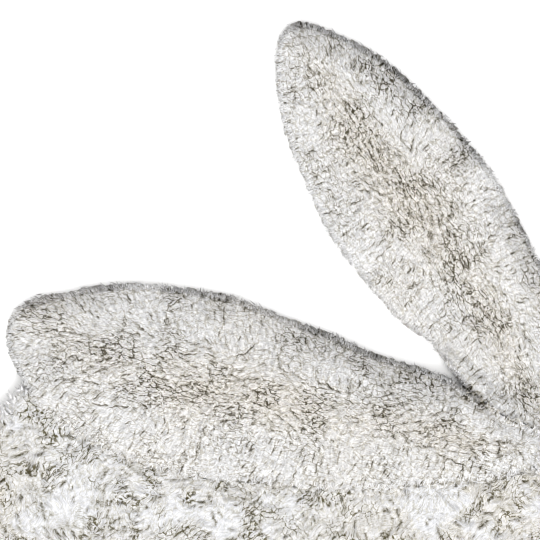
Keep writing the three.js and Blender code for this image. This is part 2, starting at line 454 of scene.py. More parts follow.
def weave_of(points, axis, stretch, bend, seed):
    """Places of points along an axis, drawn in by stretch, and across it, on a winding net."""
    sway = np.stack([drift(points, SWAY_SIZE, seed + i) for i in (0, 1)], axis=1)
    crimp = np.stack([drift(points, CRIMP_SIZE, seed + i) for i in (2, 3)], axis=1)
    x, y = (points + bend * sway + CRIMP_BEND * crimp).T
    along = (x * axis[0] + y * axis[1]) / stretch
    across = y * axis[0] - x * axis[1]
    return np.column_stack([along, across, np.zeros(len(points))])


def parting_lines(outline, way_at, chance_at, count, length, long_ones, seed):
    """Points along wavy partings that follow the given ways, and along the long ones with given
    ends, and how open each one is there."""
    rng = np.random.default_rng(seed)
    at = rng.uniform(outline.min(0), outline.max(0), (count * LINE_TRIES, 2))
    at = at[inside_outline(at, outline)]
    at = at[rng.uniform(0, 1, len(at)) < chance_at(at)][:count]
    run = length * rng.lognormal(0, 0.5, len(at))
    strength = 0.4 + 0.9 * rng.uniform(0, 1, len(at)) ** 1.3
    swing = rng.uniform(0.1, 0.7, len(at))
    wave = rng.uniform(0.004, 0.009, len(at))
    phase = rng.uniform(0, 2 * math.pi, len(at))
    heading = way_at(at) * rng.choice([-1, 1], len(at))[:, None]
    places, openings = [], []
    for travelled in np.arange(0, run.max(), LINE_STEP):
        going = travelled < run
        taper = np.sin(math.pi * np.minimum(travelled / run, 1)) ** 0.5
        places.append(at[going])
        openings.append((strength * taper)[going])
        here = way_at(at)
        here *= np.sign((here * heading).sum(1))[:, None]
        heading = unit(0.85 * heading + 0.15 * here)
        swung = turned(heading, swing * np.sin(2 * math.pi * travelled / wave + phase))
        at = at + swung * LINE_STEP
    for *start, x, y in long_ones:
        run = np.subtract((x, y), start)
        share = np.arange(0, 1, LINE_STEP / np.hypot(*run))
        line = start + share[:, None] * run
        aside = unit(np.array([[run[1], -run[0]]]))
        places.append(line + LONG_SWAY * aside * drift(line, LONG_SWAY_SIZE, seed)[:, None])
        openings.append(LONG_STRENGTH * np.sin(math.pi * share) ** 0.4)
    return np.concatenate(places), np.concatenate(openings)


def opened(points, lean_ways, lines, width):
    """How deep each point lies in a parting, its distance past the nearest one along the lean
    of the pile, in widths, and how near that one is."""
    places, openings = lines
    finder = finder_of(places)
    hits = [finder.find((x, y, 0)) for x, y in points]
    index = np.array([hit[1] for hit in hits])
    distance = np.array([hit[2] for hit in hits])
    strength = openings[index]
    past = ((points - places[index]) * lean_ways).sum(1) / width
    depth = strength * np.clip(1.35 - distance / width, 0, 1)
    return np.clip(depth, 0, 1), past, strength * np.exp(-((distance / width / 3) ** 2))


def net_of(low, high, cell, kept):
    """A flat net of square cells over the kept part of a box, as a bmesh. It has no crumbs, no
    pin holes and no two parts that touch at one point only."""
    columns, rows = np.ceil((high - low) / cell).astype(int)
    bm = bmesh.new()
    bmesh.ops.create_grid(bm, x_segments=columns, y_segments=rows, size=0.5)
    bmesh.ops.scale(bm, verts=bm.verts, vec=(*(high - low), 1))
    bmesh.ops.translate(bm, verts=bm.verts, vec=(*((low + high) / 2), 0))
    bm.verts.index_update()
    inside = kept(np.array([vert.co.xy[:] for vert in bm.verts]))
    gone = [face for face in bm.faces if not all(inside[vert.index] for vert in face.verts)]
    bmesh.ops.delete(bm, geom=gone, context="FACES")
    while True:
        touching = [vert for vert in bm.verts if sum(e.is_boundary for e in vert.link_edges) > 2]
        if not touching:
            break
        gone = list({face for vert in touching for face in vert.link_faces})
        bmesh.ops.delete(bm, geom=gone, context="FACES")
    crumbs, seen = [], set()
    for face in bm.faces:
        if face not in seen:
            part = linked_faces(face)
            seen |= part
            if len(part) < CRUMB_CELLS:
                crumbs += part
    bmesh.ops.delete(bm, geom=crumbs, context="FACES")
    loose = [vert for vert in bm.verts if not vert.link_faces]
    bmesh.ops.delete(bm, geom=loose, context="VERTS")
    rims = [edge for edge in bm.edges if edge.is_boundary]
    bmesh.ops.holes_fill(bm, edges=rims, sides=PIN_HOLE_SIDES)
    return bm


def close_below(bm, low, high, kept):
    """Give a flat net a wall and a flat cap of larger triangles, and return their points."""
    edge = [edge for edge in bm.edges if edge.is_boundary]
    for part in edge:
        part.smooth = False
    wall = bmesh.ops.extrude_edge_only(bm, edges=edge)["geom"]
    foot = [part for part in wall if isinstance(part, bmesh.types.BMVert)]
    number = {vert: index for index, vert in enumerate(foot)}
    wall_edges = [part for part in wall if isinstance(part, bmesh.types.BMEdge)]
    sides = [
        [number[vert] for vert in part.verts]
        for part in wall_edges
        if part.verts[0] in number and part.verts[1] in number
    ]
    half = CAP_STEP / 2
    across, up = np.meshgrid(*[np.arange(a + half, b, CAP_STEP) for a, b in zip(low, high)])
    middle = np.stack([across.ravel(), up.ravel()], axis=1)
    middle = middle[kept(middle)]
    places = [vert.co.xy for vert in foot] + [Vector(place) for place in middle]
    found, _, triangles, sources, _, _ = delaunay_2d_cdt(places, sides, [], 1, 1e-7)
    corners = []
    for place, source in zip(found, sources):
        old = [index for index in source if index < len(foot)]
        corners.append(foot[old[0]] if old else None)
    added = []
    for triangle in triangles:
        for index in triangle:
            if corners[index] is None:
                corners[index] = bm.verts.new((*found[index], 0))
                added.append(corners[index])
        bm.faces.new([corners[index] for index in reversed(triangle)])
    bm.verts.index_update()
    return [vert.index for vert in foot + added]


def set_looks(mesh, looks, chart):
    """Give a pile mesh its lightness, shade, warmth and share of fine partings, and its chart."""
    for label, values in zip(("lightness", "shade", "warmth", "parted"), looks):
        layer = mesh.attributes.new(label, "FLOAT", "POINT")
        layer.data.foreach_set("value", values.astype(np.float32))
    mesh.uv_layers.new(name="OFBake").uv.foreach_set("vector", chart.astype(np.float32).ravel())
    mesh.polygons.foreach_set("use_smooth", np.ones(len(mesh.polygons), bool))


def dense_pile(name, low, high, cell, kept, relief_at, grid, material, node):
    """One closed piece of dense pile: a fine relief above, a wall and a plain cap below."""
    bm = net_of(low, high, cell, kept)
    below = close_below(bm, low, high, kept)
    bmesh.ops.recalc_face_normals(bm, faces=bm.faces[:])
    under = np.zeros(len(bm.verts), bool)
    under[below] = True
    places = np.array([vert.co.xy[:] for vert in bm.verts])
    mesh = bpy.data.meshes.new(name)
    bm.to_mesh(mesh)
    bm.free()
    points, *looks, weave = relief_at(places)
    points[under] = at_height(places[under], grid, CAP_SHARE)
    mesh.vertices.foreach_set("co", points.astype(np.float32).ravel())
    low, high = places.min(0), places.max(0)
    chart = CHART_MARGIN + (1 - 2 * CHART_MARGIN) * (places - low) / (high - low)
    corner = np.zeros(len(mesh.loops), int)
    mesh.loops.foreach_get("vertex_index", corner)
    chart = chart[corner]
    face_start = np.zeros(len(mesh.polygons), int)
    face_total = np.zeros(len(mesh.polygons), int)
    mesh.polygons.foreach_get("loop_start", face_start)
    mesh.polygons.foreach_get("loop_total", face_total)
    low_face = np.add.reduceat(under[corner].astype(int), face_start) > 0
    chart[np.repeat(low_face, face_total)] *= CHART_MARGIN / 2
    set_looks(mesh, [np.where(under, 0.5, values) for values in looks], chart)
    layer = mesh.attributes.new("weave", "FLOAT_VECTOR", "POINT")
    layer.data.foreach_set("vector", weave.astype(np.float32).ravel())
    mesh.update()
    return rug_piece(name, mesh, material, node)


def strands(roots, knees, tips, radius, shade, warmth, shadow):
    """Bent strands from roots over knees to tips, as points, faces and looks. Each is a three
    sided spindle, widest at its knee, with a flat side up."""
    bm = bmesh.new()
    bmesh.ops.create_uvsphere(bm, u_segments=3, v_segments=2, radius=1)
    bm.verts.index_update()
    places = np.array([vert.co[:] for vert in bm.verts])
    faces = np.array([[vert.index for vert in face.verts] for face in bm.faces])
    bm.free()
    ring = np.abs(places[:, 2]) < 0.5
    first = np.arctan2(places[ring, 1], places[ring, 0])[0]
    side, lift = turned(places[:, :2], math.pi * 1.5 - first).T
    rise = knees - roots
    fall = tips - knees
    heading = rise / np.linalg.norm(rise, axis=1)[:, None]
    heading = heading + fall / np.linalg.norm(fall, axis=1)[:, None]
    heading /= np.linalg.norm(heading, axis=1)[:, None]
    across = unit(np.stack([-fall[:, 1], fall[:, 0]], axis=1))
    across = np.column_stack([across, np.zeros(len(tips))])
    outward = np.cross(heading, across)
    points = np.zeros((len(roots), len(places), 3))
    for i, level in enumerate(places[:, 2]):
        if level < -0.5:
            points[:, i] = roots
        elif level > 0.5:
            points[:, i] = tips
        else:
            ring_way = side[i] * across + STRAND_FLATNESS * lift[i] * outward
            points[:, i] = knees + radius[:, None] * ring_way
    along = (places[:, 2] + 1) / 2
    lightness = STRAND_ROOT_LIGHT + (1 - STRAND_ROOT_LIGHT) * along[None]
    lightness = lightness * (1 - shadow[:, None])
    looks = (
        lightness.ravel(),
        np.repeat(shade, len(places)),
        np.repeat(warmth, len(places)),
        np.zeros(len(roots) * len(places)),
    )
    low, high = SHADE_RANGE
    column = np.floor((np.clip(shade, low, high - 0.01) - low) / (high - low) * CHART_COLUMNS)
    u = (column[:, None] + 0.1 + 0.8 * warmth[:, None]) / CHART_COLUMNS + CHART_WIDTH * side[None]
    v = CHART_MARGIN + (1 - 2 * CHART_MARGIN) * lightness
    chart = np.stack([u.ravel(), v.ravel()], axis=1)
    starts = np.arange(len(roots)) * len(places)
    every_face = (faces[None] + starts[:, None, None]).reshape(-1, 3)
    return points.reshape(-1, 3), every_face, looks, chart


def loose_pile(name, grown, material, node):
    """One piece of pile out of grown strands."""
    points, faces, looks, chart = strands(*grown)
    mesh = bpy.data.meshes.new(name)
    mesh.from_pydata(points, [], faces)
    set_looks(mesh, looks, chart[faces.ravel()])
    return rug_piece(name, mesh, material, node)


NET_CRIMP = 0.0035
NET_CRIMPS_PER_METRE = 330
NET_BREAK_FROM = 0.53
NET_BREAK_GROWTH = 1.5
FINE_NET_SHARE = 0.65
GRAINS_PER_METRE = 1100
WOOL_RELIEF = 0.5
WOOL_RELIEF_DEPTH = 0.0008
WOOL_ROUGHNESS = 0.9
WOOL_SPECULAR = 0.25


def wool_colour_group():
    """Shader group: colour of wool from the dark of a parting to its light tip, with its own
    shade and warmth, broken up by fine partings and grain, and a height for their relief. The dark
    of a parting is the roots' darker colour plus painted shade, and the fine partings are lines of
    painted shade."""
    group = bpy.data.node_groups.new("wool colour", "ShaderNodeTree")
    for label in ("Lightness", "Shade", "Warmth", "Parted", "Partings per metre"):
        group.interface.new_socket(label, in_out="INPUT", socket_type="NodeSocketFloat")
    for label in ("Place", "Weave"):
        group.interface.new_socket(label, in_out="INPUT", socket_type="NodeSocketVector")
    for label in ("Parting", "Shaft", "Tip", "Warm"):
        group.interface.new_socket(label, in_out="INPUT", socket_type="NodeSocketColor")
    group.interface.new_socket("Colour", in_out="OUTPUT", socket_type="NodeSocketColor")
    group.interface.new_socket("Height", in_out="OUTPUT", socket_type="NodeSocketFloat")
    given = group.nodes.new("NodeGroupInput")
    result = group.nodes.new("NodeGroupOutput")

    def value(operation, first, second):
        node = group.nodes.new("ShaderNodeMath")
        node.operation = operation
        for socket, source in zip(node.inputs, (first, second)):
            if isinstance(source, (int, float)):
                socket.default_value = source
            else:
                group.links.new(source, socket)
        return node.outputs["Value"]

    def eased(source, low, high):
        node = group.nodes.new("ShaderNodeMapRange")
        node.interpolation_type = "SMOOTHSTEP"
        node.inputs["From Min"].default_value = low
        node.inputs["From Max"].default_value = high
        group.links.new(source, node.inputs["Value"])
        return node.outputs["Result"]

    def noise(place, features_per_metre, detail):
        node = group.nodes.new("ShaderNodeTexNoise")
        node.inputs["Scale"].default_value = features_per_metre
        node.inputs["Detail"].default_value = detail
        group.links.new(given.outputs[place], node.inputs["Vector"])
        return node

    def mixed(share, first, second):
        node = group.nodes.new("ShaderNodeMix")
        node.data_type = "RGBA"
        group.links.new(share, node.inputs["Factor"])
        group.links.new(first, node.inputs[6])
        group.links.new(second, node.inputs[7])
        return node

    def net(times_finer, breaks_per_metre, half_width, soft):
        """Lines of a net of partings, 1 in a line, which narrow and break off in places. They are
        painted dark as shade.
        """
        cells = group.nodes.new("ShaderNodeTexVoronoi")
        cells.voronoi_dimensions = "2D"
        cells.feature = "DISTANCE_TO_EDGE"
        cell_scale = value("MULTIPLY", given.outputs["Partings per metre"], times_finer)
        crimp = group.nodes.new("ShaderNodeVectorMath")
        crimp.operation = "MULTIPLY_ADD"
        crimp.inputs[1].default_value = (NET_CRIMP, NET_CRIMP, 0)
        bends = noise("Place", NET_CRIMPS_PER_METRE, 2)
        group.links.new(bends.outputs["Color"], crimp.inputs[0])
        group.links.new(given.outputs["Weave"], crimp.inputs[2])
        group.links.new(crimp.outputs["Vector"], cells.inputs["Vector"])
        group.links.new(cell_scale, cells.inputs["Scale"])
        breaks = noise("Place", breaks_per_metre, 2)
        gap = value("SUBTRACT", breaks.outputs["Fac"], NET_BREAK_FROM)
        gap = value("MULTIPLY", value("MAXIMUM", gap, 0.0), NET_BREAK_GROWTH)
        distance = value("ADD", cells.outputs["Distance"], gap)
        return value("SUBTRACT", 1.0, eased(distance, half_width, half_width + soft))

    coarse_net = net(times_finer=1.0, breaks_per_metre=330, half_width=0.045, soft=0.13)
    fine_net = net(times_finer=1.8, breaks_per_metre=450, half_width=0.05, soft=0.22)
    coarse = value("MULTIPLY", coarse_net, given.outputs["Parted"])
    fine = value("MULTIPLY", fine_net, given.outputs["Parted"])
    fine = value("MULTIPLY", fine, FINE_NET_SHARE)
    open_light = value("SUBTRACT", 1.0, value("MAXIMUM", coarse, fine))
    lightness = value("MULTIPLY", given.outputs["Lightness"], open_light)
    low_half = mixed(eased(lightness, 0.05, 0.45), given.outputs["Parting"], given.outputs["Shaft"])
    whole = mixed(eased(lightness, 0.4, 0.8), low_half.outputs[2], given.outputs["Tip"])
    warm = mixed(given.outputs["Warmth"], whole.outputs[2], given.outputs["Warm"])
    warm.blend_type = "MULTIPLY"
    grain_share = value("MINIMUM", value("MULTIPLY", given.outputs["Parted"], 5.0), 1.1)
    grain = value("SUBTRACT", noise("Weave", GRAINS_PER_METRE, 3).outputs["Fac"], 0.5)
    grain = value("MULTIPLY", grain, grain_share)
    shade = value("MULTIPLY", given.outputs["Shade"], value("ADD", grain, 1.0))
    shaded = group.nodes.new("ShaderNodeVectorMath")
    shaded.operation = "SCALE"
    group.links.new(warm.outputs[2], shaded.inputs[0])
    group.links.new(shade, shaded.inputs["Scale"])
    group.links.new(shaded.outputs["Vector"], result.inputs["Colour"])
    group.links.new(value("ADD", grain, open_light), result.inputs["Height"])
    return group


wool_colour = wool_colour_group()


def wool(name, partings, parting, shaft, tip, warm):
    """A matt wool material with so many fine partings to a metre, in the given linear colours."""
    material, tree, shader = new_material(name)
    colour = tree.nodes.new("ShaderNodeGroup")
    colour.node_tree = wool_colour
    for socket in ("Lightness", "Shade", "Warmth", "Parted"):
        reader = tree.nodes.new("ShaderNodeAttribute")
        reader.attribute_name = socket.lower()
        tree.links.new(reader.outputs["Fac"], colour.inputs[socket])
    place = tree.nodes.new("ShaderNodeTexCoord")
    tree.links.new(place.outputs["Object"], colour.inputs["Place"])
    weave = tree.nodes.new("ShaderNodeAttribute")
    weave.attribute_name = "weave"
    tree.links.new(weave.outputs["Vector"], colour.inputs["Weave"])
    colour.inputs["Partings per metre"].default_value = partings
    for socket, value in (("Parting", parting), ("Shaft", shaft), ("Tip", tip), ("Warm", warm)):
        colour.inputs[socket].default_value = (*value, 1)
    add_relief(tree, shader, colour.outputs["Height"], WOOL_RELIEF, WOOL_RELIEF_DEPTH)
    tree.links.new(colour.outputs["Colour"], shader.inputs["Base Color"])
    shader.inputs["Roughness"].default_value = WOOL_ROUGHNESS
    shader.inputs["Specular IOR Level"].default_value = WOOL_SPECULAR
    return material


long_wool = wool(
    "long wool",
    partings=225,
    parting=(0.085, 0.075, 0.04),
    shaft=(0.45, 0.44, 0.41),
    tip=(0.56, 0.562, 0.578),
    warm=(1.0, 0.968, 0.91),
)

panel_outline = outline_of("body_panel")
laid_outline = outline_of("laid_ear")
raised_outline = outline_of("raised_ear")
panel_rim = rim_map(panel_outline)
laid_rim = rim_map(laid_outline)
raised_rim = rim_map(raised_outline)


def body_lean(at):
    """Which way the body's pile leans at each point, how far over, and the distance to the rim.
    It leans in whorls, and outwards at the rim. Where two ways meet, it stands up."""
    rim, out, _ = rim_at(at, panel_rim)
    swirl = math.pi * (0.8 * drift(at, 0.06, 1) + 0.35 * drift(at, 0.02, 2))
    whorl = turned(np.tile(BODY_FALL, (len(at), 1)), swirl)
    near_rim = smooth(rim, 0.035, 0.008)[:, None]
    lean = whorl * (1 - near_rim) + out * near_rim
    return unit(lean), np.clip(np.hypot(*lean.T), 0.35, 1), rim


def body_white(at):
    """Where the pile is smooth and white, from 0 to 1."""
    white = drift(at, 0.04, 9) - 0.25
    for x, y, size in WHITE_PLACES:
        white += 1.9 * np.exp(-((at - (x, y)) ** 2).sum(1) / size**2)
    white -= 1.2 * np.exp(-((at - OPEN_PLACE) ** 2).sum(1) / OPEN_SIZE**2)
    return smooth(white + 0.7 * drift(at, 0.01, 19), 0, 1)


def body_chance(at):
    """How likely a parting starts at each point."""
    return np.clip(0.45 + 0.6 * drift(at, 0.009, 12), 0.02, 1) * (1 - 0.7 * body_white(at))


def body_look(at):
    """Lean, distance to the rim, depth in a parting, height over the plain surface, shade, warmth
    and share of fine partings of the pile at each point."""
    way, lean, rim = body_lean(at)
    depth, past, near = opened(at, way, body_lines, BODY_LINE_WIDTH)
    inside = inside_lock(at, *body_locks, BODY_LOCK_STRETCH)
    white = body_white(at)
    rope = smeared(at, way, *BODY_ROPE, 21)
    fine = smeared(at, way, *BODY_FINE, 22)
    cells = np.exp(-((cell_lines(at, way, *BODY_CELLS, 23) / BODY_CELL_LINE) ** 2))
    cells *= smooth(drift(at, 0.010, 24), -0.8, 0.5) * (1 - 0.75 * white)
    # Depth darkens the colour as well as lowering the surface: the roots' darker colour plus
    # painted shade in partings and cells.
    depth = np.maximum(0.75 * depth, 0.3 * cells)
    height = -BODY_PARTING_DEPTH * depth
    height -= 0.0006 * near * np.exp(-np.maximum(past, 0) / 2) * (past > 0)
    height += 0.0006 * rope + 0.0003 * fine
    height -= 0.0006 * np.clip(1 - inside / BODY_LOCK_EDGE, 0, 1)
    # The white places are lightened a little: a slight painted highlight.
    shade = 1.0 + 0.03 * white + 0.10 * fine + 0.03 * rope + 0.05 * drift(at, 0.0012, 25)
    # Painted light: the pile near the rim is lightened where its slope turns away from the key
    # light.
    shade += 0.12 * smooth(rim, 0.02, 0.005)
    height += 0.0012 * drift(at, 0.016, 28) + 0.0007 * drift(at, 0.007, 29)
    warmth = 0.5 + 0.5 * drift(at, 0.09, 8) - 0.8 * white
    parted = (0.6 + 0.33 * smooth(drift(at, 0.012, 26), -0.6, 0.6)) * (1 - 0.3 * white)
    return way, lean, rim, depth, height, shade, np.clip(warmth, 0, 1), parted


def body_level(at, share):
    """Points lifted to a share of the body pile's height, which wells up beside the ears."""
    points = at_height(at, body_survey, share)
    away = -np.maximum(rim_at(at, laid_rim)[0], rim_at(at, raised_rim)[0])
    beside = smooth(away, -PRESS_EASE, PRESS_EASE)
    beside *= smooth(away, BODY_PRESS_REACH, BODY_PRESS_REACH / 2)
    beside *= smooth(rim_at(at, panel_rim)[0], 0.002, 0.016)
    points[:, 2] = np.maximum(points[:, 2], share * BODY_WELL_HEIGHT * beside)
    return points


def body_relief(at):
    """Points of the dense pile's surface, with their looks and their places in the weave."""
    _, _, _, depth, height, shade, warmth, parted = body_look(at)
    points = body_level(at, BODY_MASS_SHARE)
    points[:, 2] += height
    weave = weave_of(at, BODY_FALL, BODY_WEAVE_STRETCH, BODY_WEAVE_BEND, 31)
    return points, 1 - depth, shade, warmth, parted, weave


def body_shown(at):
    """Which points aren't hidden deep under an ear."""
    under = np.maximum(rim_at(at, laid_rim)[0], rim_at(at, raised_rim)[0])
    ragged = BODY_RAGGED * smooth(drift(at, 0.004, 27), -0.3, 0.8)
    return (rim_at(at, panel_rim)[0] > BODY_INSET + ragged) & (under < UNDER_EAR_MARGIN)


def body_strands():
    """Roots, knees, tips and looks of the loose strands of the whole panel."""
    rng = np.random.default_rng(BODY_SEED)
    tips = scattered(panel_outline, BODY_STRAND_SPACING, BODY_SEED)
    rim = rim_at(tips, panel_rim)[0]
    loose = (rim < BODY_REACH) | (rng.uniform(0, 1, len(tips)) < LOOSE_SHARE)
    tips = tips[loose & (body_shown(tips) | (rim < BODY_INSET + 0.001))]
    way, lean, rim, depth, height, shade, warmth, _ = body_look(tips)
    kept = depth < 0.3
    way, lean, rim, height, shade, warmth, tips = (
        part[kept] for part in (way, lean, rim, height, shade, warmth, tips)
    )
    spill = rng.uniform(-2.5, -0.5, len(tips)) + 2.5 * smooth(drift(tips, 0.006, 27), 0.2, -0.6)
    tips += way * (spill * 0.001 * smooth(rim, 0.008, 0.004))[:, None]
    count = len(tips)
    reach = BODY_REACH * lean * rng.uniform(0.8, 1.2, count)
    roots = tips - turned(way, rng.normal(0, 0.35, count)) * reach[:, None]
    knees = roots + (tips - roots) * 0.45
    root_points = body_level(roots, BODY_ROOT_SHARE)
    knee_points = body_level(knees, BODY_KNEE_SHARE)
    tip_points = body_level(tips, BODY_TIP_SHARE)
    tip_points[:, 2] += height + rng.uniform(0.0004, 0.003, count)
    knee_points[:, 2] += height
    radius = BODY_STRAND_RADIUS * rng.uniform(0.7, 1.2, count) * (1 + smooth(rim, 0.01, 0.004))
    # Painted light: loose strands near the rim are lightened to make up for their own shadows.
    lit = 1 + LOOSE_LIGHT * smooth(rim, 0.015, 0.005)
    return (
        root_points,
        knee_points,
        tip_points,
        radius,
        shade * lit + rng.normal(0, 0.04, count),
        np.clip(warmth + rng.normal(0, 0.1, count), 0, 1),
        np.zeros(count),
    )


body_survey = survey("body_panel", BODY_SURVEY_STEP)
body_locks = lock_centres(
    panel_outline, lambda at: body_lean(at)[0], BODY_LOCK_WIDTH, BODY_LOCK_STRETCH, BODY_SEED
)
body_lines = parting_lines(
    panel_outline, lambda at: body_lean(at)[0], body_chance, BODY_LINES, BODY_LINE_LENGTH,
    BODY_LONG_PARTINGS, BODY_SEED
)
panel_low, panel_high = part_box("body_panel")
spread = scattered(panel_outline, 0.004, 0)
cuts = np.quantile(spread[body_shown(spread), 0], [0, 1 / 3, 2 / 3, 1])
cuts[0], cuts[-1] = panel_low.x, panel_high.x
for label, start, end in zip(("rump", "middle", "head"), cuts[:-1], cuts[1:]):
    piece = dense_pile(
        f"body_pile_{label}",
        np.array([start, panel_low.y]),
        np.array([end, panel_high.y]),
        BODY_CELL,
        body_shown,
        body_relief,
        body_survey,
        long_wool,
        "body_panel",
    )
loose_pile("body_strands", body_strands(), long_wool, "body_panel")

# Ears: two leaf shaped panels of short, dense pile, sewn behind the head by their base ends. The
# pile parts in wavy lines along the middle, painted dark with the roots' colour and painted shade,
# falls outwards over the rim, and is beige in places.
# A crease runs inside the upper rim. The upper rim and the crease are painted darker and greyer:
# painted shade on the side turned from the light. Loose strands hang over the whole rim.
EAR_OVERHANG = 0.004
EAR_CELL = 0.00077
EAR_INSET = 0.0002
RAGGED = 0.0018
EAR_SPILL = 0.0042
FAR_HANG = 0.0026
EAR_WELL_HEIGHT = 0.025
EAR_SURVEY_STEP = 0.0025
EAR_MASS_SHARE = 0.96
EAR_PARTING_DEPTH = 0.0015
EAR_LOCK_WIDTH = 0.0034
EAR_LOCK_STRETCH = 1.7
EAR_LOCK_EDGE = 0.001
EAR_HAIR = (0.0010, 0.003)
EAR_CELLS = (0.0022, 0.0036)
EAR_CELL_LINE = 0.00065
EAR_LINES = 1300
EAR_LINE_LENGTH = 0.007
EAR_LINE_WIDTH = 0.0007
EAR_LONG_PARTINGS = (
    (-0.1958, 0.1139, -0.1772, 0.1131),
    (-0.1772, 0.1131, -0.1601, 0.1063),
    (-0.0938, 0.1139, -0.0836, 0.1165),
    (-0.0803, 0.1071, -0.0667, 0.0986),
    (-0.0531, 0.1173, -0.042, 0.1122),
    (-0.042, 0.1122, -0.0242, 0.1122),
    (-0.0462, 0.1301, -0.0301, 0.1428),
    (-0.1686, 0.0935, -0.1533, 0.0901),
    (-0.1533, 0.0901, -0.1363, 0.091),
    (0.0761, 0.0969, 0.0889, 0.1012),
    (0.1271, 0.0799, 0.1391, 0.0782),
    (0.1764, 0.0612, 0.1747, 0.0493),
    (0.1221, 0.0493, 0.1492, 0.0408),
    (0.1799, 0.0816, 0.1986, 0.074),
    (0.1450, 0.1090, 0.1501, 0.1045),
    (0.1510, 0.1040, 0.1561, 0.1003),
    (0.1578, 0.0969, 0.1629, 0.0918),
    (0.1645, 0.0905, 0.1680, 0.0867),
)
EAR_WEAVE_STRETCH = 2.7
EAR_WEAVE_BEND = 0.0035
CREASE_WIDTH = 0.0013
SHADED_SIDE = (0.35, 0.94)
SHADE_END = 0.138
SHADE_FADE = 0.012
RIM_PAINTED_SHADE = 0.57
BAND_PAINTED_SHADE = 0.2
# Painted shade where the laid ear's rim lies over the raised ear: darker, warmer colour and dark
# tufts.
CROSSING_SHADE_PLACE = (0.157, 0.100)
CROSSING_SHADE_SIZE = 0.011
CROSSING_SHADE_DARKENING = 0.35
TUFTS = (0.0016, 0.004)
EAR_STRAND_SPACING = 0.00145
EAR_STRAND_RADIUS = 0.0006
EAR_LOOSE_SHARE = 0.04
EAR_REACH = 0.0055
EAR_LEAST_REACH = 0.008
EAR_ROOT_SHARE = 0.3
EAR_KNEE_SHARE = 0.95
EAR_TIP_SHARE = 0.98
RAISED_RESTS = ["floor", "body_panel"]
LAID_RESTS = ["floor", "body_panel", "raised_ear"]

short_wool = wool(
    "short wool",
    partings=245,
    parting=(0.05, 0.042, 0.025),
    shaft=(0.40, 0.385, 0.35),
    tip=(0.568, 0.566, 0.572),
    warm=(0.985, 0.955, 0.91),
)


def ear_lean(at, rim_grid, fall, seed):
    """Which way an ear's pile leans at each point, how far over, the distance and way to the
    rim, and how near the rim is. It leans outwards at the rim and to one side at the crown."""
    rim, out, one_sided = rim_at(at, rim_grid)
    near_rim = np.maximum(smooth(one_sided, 0.1, 0.8), smooth(rim, 0.012, 0.006))
    lean = out * near_rim[:, None] + np.array(fall) * (0.8 - 0.35 * near_rim)[:, None]
    swirl = (0.8 - 0.5 * near_rim) * (drift(at, 0.03, seed) + 0.6 * drift(at, 0.01, seed + 1))
    stray = np.stack([drift(at, 0.007, seed + 2), drift(at, 0.007, seed + 3)], axis=1)
    lean = turned(lean, swirl) + 0.3 * stray * (1 - near_rim)[:, None]
    return unit(lean), np.clip(np.hypot(*lean.T), 0.3, 1), rim, out, near_rim


